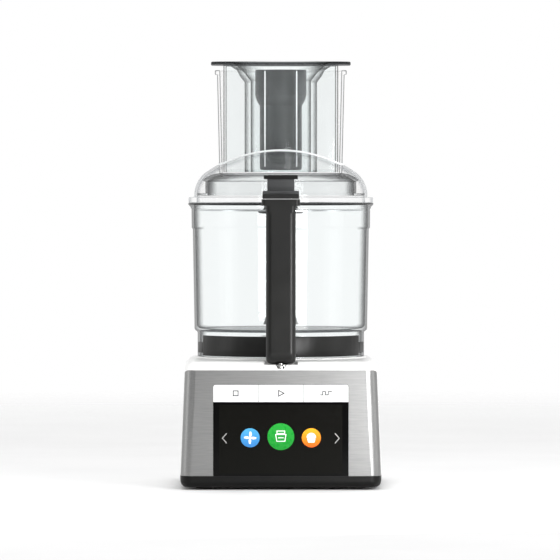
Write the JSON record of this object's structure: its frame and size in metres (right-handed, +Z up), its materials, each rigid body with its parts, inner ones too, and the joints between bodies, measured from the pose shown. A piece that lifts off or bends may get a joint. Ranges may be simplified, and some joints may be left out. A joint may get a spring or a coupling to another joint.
{
  "type": "food processor",
  "caption": "Kitchen food processor with a motor base, display panel and push buttons, clear bowl with handle, lid with a wide feed tube, slicing disc and nested pushers.",
  "frame": {"origin": "on the surface the feet stand on, at the middle of the machine's outline seen from above", "axes": "+Z up; the display and the bowl's handle face -Y; +X is to the right seen from the front; the drive axis is upright through (0, 0.016)"},
  "size_m": [0.2222, 0.268, 0.4685],
  "materials": {
    "white_plastic": "smooth semi-gloss moulding",
    "black_plastic": "fine satin moulding",
    "grey_plastic": "dark grey satin moulding",
    "clear_plastic": "clear polished moulding",
    "black_glass": "gloss black",
    "satin_metal": "satin, finely brushed",
    "polished_steel": "polished",
    "disc_steel": "bright stamped steel",
    "screw_steel": "zinc plated",
    "lamination_steel": "stacked sheets",
    "copper": "enamelled winding wire",
    "cast_aluminium": "as cast",
    "circuit_board": "solder mask",
    "display_panel": "dull metal-backed panel",
    "rubber": "matt"
  },
  "bodies": {
    "base": {"base_tray": "black_plastic", "rubber_feet": "rubber", "tray_screws": "screw_steel", "housing_shell": "white_plastic", "front_fascia": "satin_metal", "display_glass": "black_glass", "panel_frame": "black_plastic", "display_module": "display_panel", "control_board": "circuit_board", "button_switches": "screw_steel", "motor_stator": "lamination_steel", "stator_windings": "copper", "lower_bracket": "cast_aluminium", "lower_bearing": "screw_steel", "upper_bracket": "cast_aluminium", "upper_bearing": "screw_steel", "motor_bolts": "screw_steel", "motor_mounts": "rubber", "shaft_seal": "rubber", "run_capacitor": "cast_aluminium", "cord_gland": "black_plastic", "interlock_switch": "black_plastic"},
    "stop": {"stop_button": "white_plastic"},
    "auto": {"auto_button": "white_plastic"},
    "pulse": {"pulse_button": "white_plastic"},
    "plunger": {"switch_plunger": "polished_steel"},
    "drive": {"motor_shaft": "polished_steel", "rotor": "lamination_steel", "cooling_fan": "black_plastic"},
    "bowl": {"main_bowl": "clear_plastic", "bowl_collar": "black_plastic", "lock_lugs": "black_plastic", "bowl_handle": "black_plastic", "handle_cap": "black_plastic", "rod_spring": "polished_steel"},
    "rod": {"interlock_rod": "polished_steel"},
    "disc": {"disc_stem": "grey_plastic", "disc_hub": "black_plastic", "grating_disc": "disc_steel", "disc_cap": "black_plastic"},
    "lid": {"lid_dome": "clear_plastic", "lid_drum": "clear_plastic", "feed_tube": "clear_plastic", "latch_foot": "black_plastic", "latch_cap": "black_plastic", "latch_column": "grey_plastic"},
    "pusher": {"large_pusher": "clear_plastic", "pusher_floor": "clear_plastic"},
    "small_pusher": {"small_pusher": "grey_plastic"}
  },
  "joints": [
    {"name": "drive_spin", "type": "hinge", "parent": "base", "child": "drive", "pos_m": [0, 0.016, 0.1], "axis": [0, 0, 1], "continuous": true},
    {"name": "bowl_lift", "type": "slide", "parent": "base", "child": "bowl", "axis": [0, 0, 1], "range_m": [0, 0.1]},
    {"name": "disc_spin", "type": "hinge", "parent": "bowl", "child": "disc", "pos_m": [0, 0.016, 0.2], "axis": [0, 0, 1], "continuous": true},
    {"name": "lid_lift", "type": "slide", "parent": "bowl", "child": "lid", "axis": [0, 0, 1], "range_m": [0, 0.1]},
    {"name": "pusher_slide", "type": "slide", "parent": "lid", "child": "pusher", "axis": [0, 0, 1], "range_m": [0, 0.115]},
    {"name": "small_pusher_slide", "type": "slide", "parent": "pusher", "child": "small_pusher", "axis": [0, 0, 1], "range_m": [0, 0.105]},
    {"name": "stop_press", "type": "slide", "parent": "base", "child": "stop", "axis": [0, 1, 0], "range_m": [0, 0.001], "stiffness_N_per_m": 900, "springref_m": -0.0002},
    {"name": "auto_press", "type": "slide", "parent": "base", "child": "auto", "axis": [0, 1, 0], "range_m": [0, 0.001], "stiffness_N_per_m": 900, "springref_m": -0.0002},
    {"name": "pulse_press", "type": "slide", "parent": "base", "child": "pulse", "axis": [0, 1, 0], "range_m": [0, 0.001], "stiffness_N_per_m": 900, "springref_m": -0.0002},
    {"name": "rod_press", "type": "slide", "parent": "bowl", "child": "rod", "axis": [0, 0, 1], "range_m": [-0.0025, 0], "stiffness_N_per_m": 600, "springref_m": 0.002, "deforming": ["rod_spring"]},
    {"name": "plunger_press", "type": "slide", "parent": "base", "child": "plunger", "axis": [0, 0, 1], "range_m": [-0.0025, 0], "stiffness_N_per_m": 300, "springref_m": 0.002}
  ],
  "couplings": [
    {"joint": "disc_spin", "follows": "drive_spin", "ratio": 1},
    {"joint": "plunger_press", "follows": "rod_press", "ratio": 1}
  ]
}
